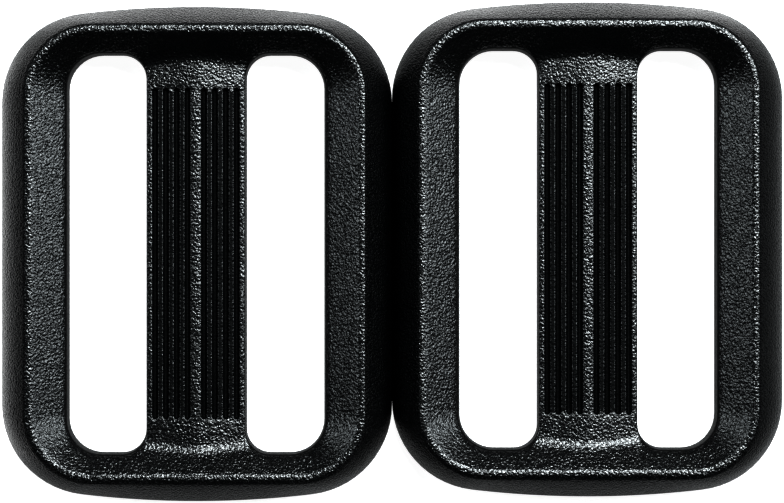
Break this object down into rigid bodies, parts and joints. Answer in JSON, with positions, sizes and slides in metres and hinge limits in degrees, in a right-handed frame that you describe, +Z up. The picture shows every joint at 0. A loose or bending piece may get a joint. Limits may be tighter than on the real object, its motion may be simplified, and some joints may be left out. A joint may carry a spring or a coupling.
{
  "type": "tri-glide webbing slide",
  "caption": "Rectangular tri-glide strap slides with rounded frames, webbing slots and grooved centre bars, for adjusting flat webbing.",
  "frame": {"origin": "on the surface that both slides rest on, under the middle of the pair", "axes": "+X across the slots, from the left slide to the right one; +Y along the slots and bars; +Z up, from the flat underside to the grooved face"},
  "size_m": [0.0768, 0.0492, 0.0058],
  "materials": {
    "black_acetal": "black injection-moulded acetal with a fine leather grain and a low sheen"
  },
  "bodies": {
    "left_slide": {"slider_left": "black_acetal"},
    "right_slide": {"slider_right": "black_acetal"}
  },
  "joints": [
    {"name": "pull_apart", "type": "slide", "parent": "left_slide", "child": "right_slide", "axis": [1, 0, 0], "range_m": [0, 0.04]}
  ]
}
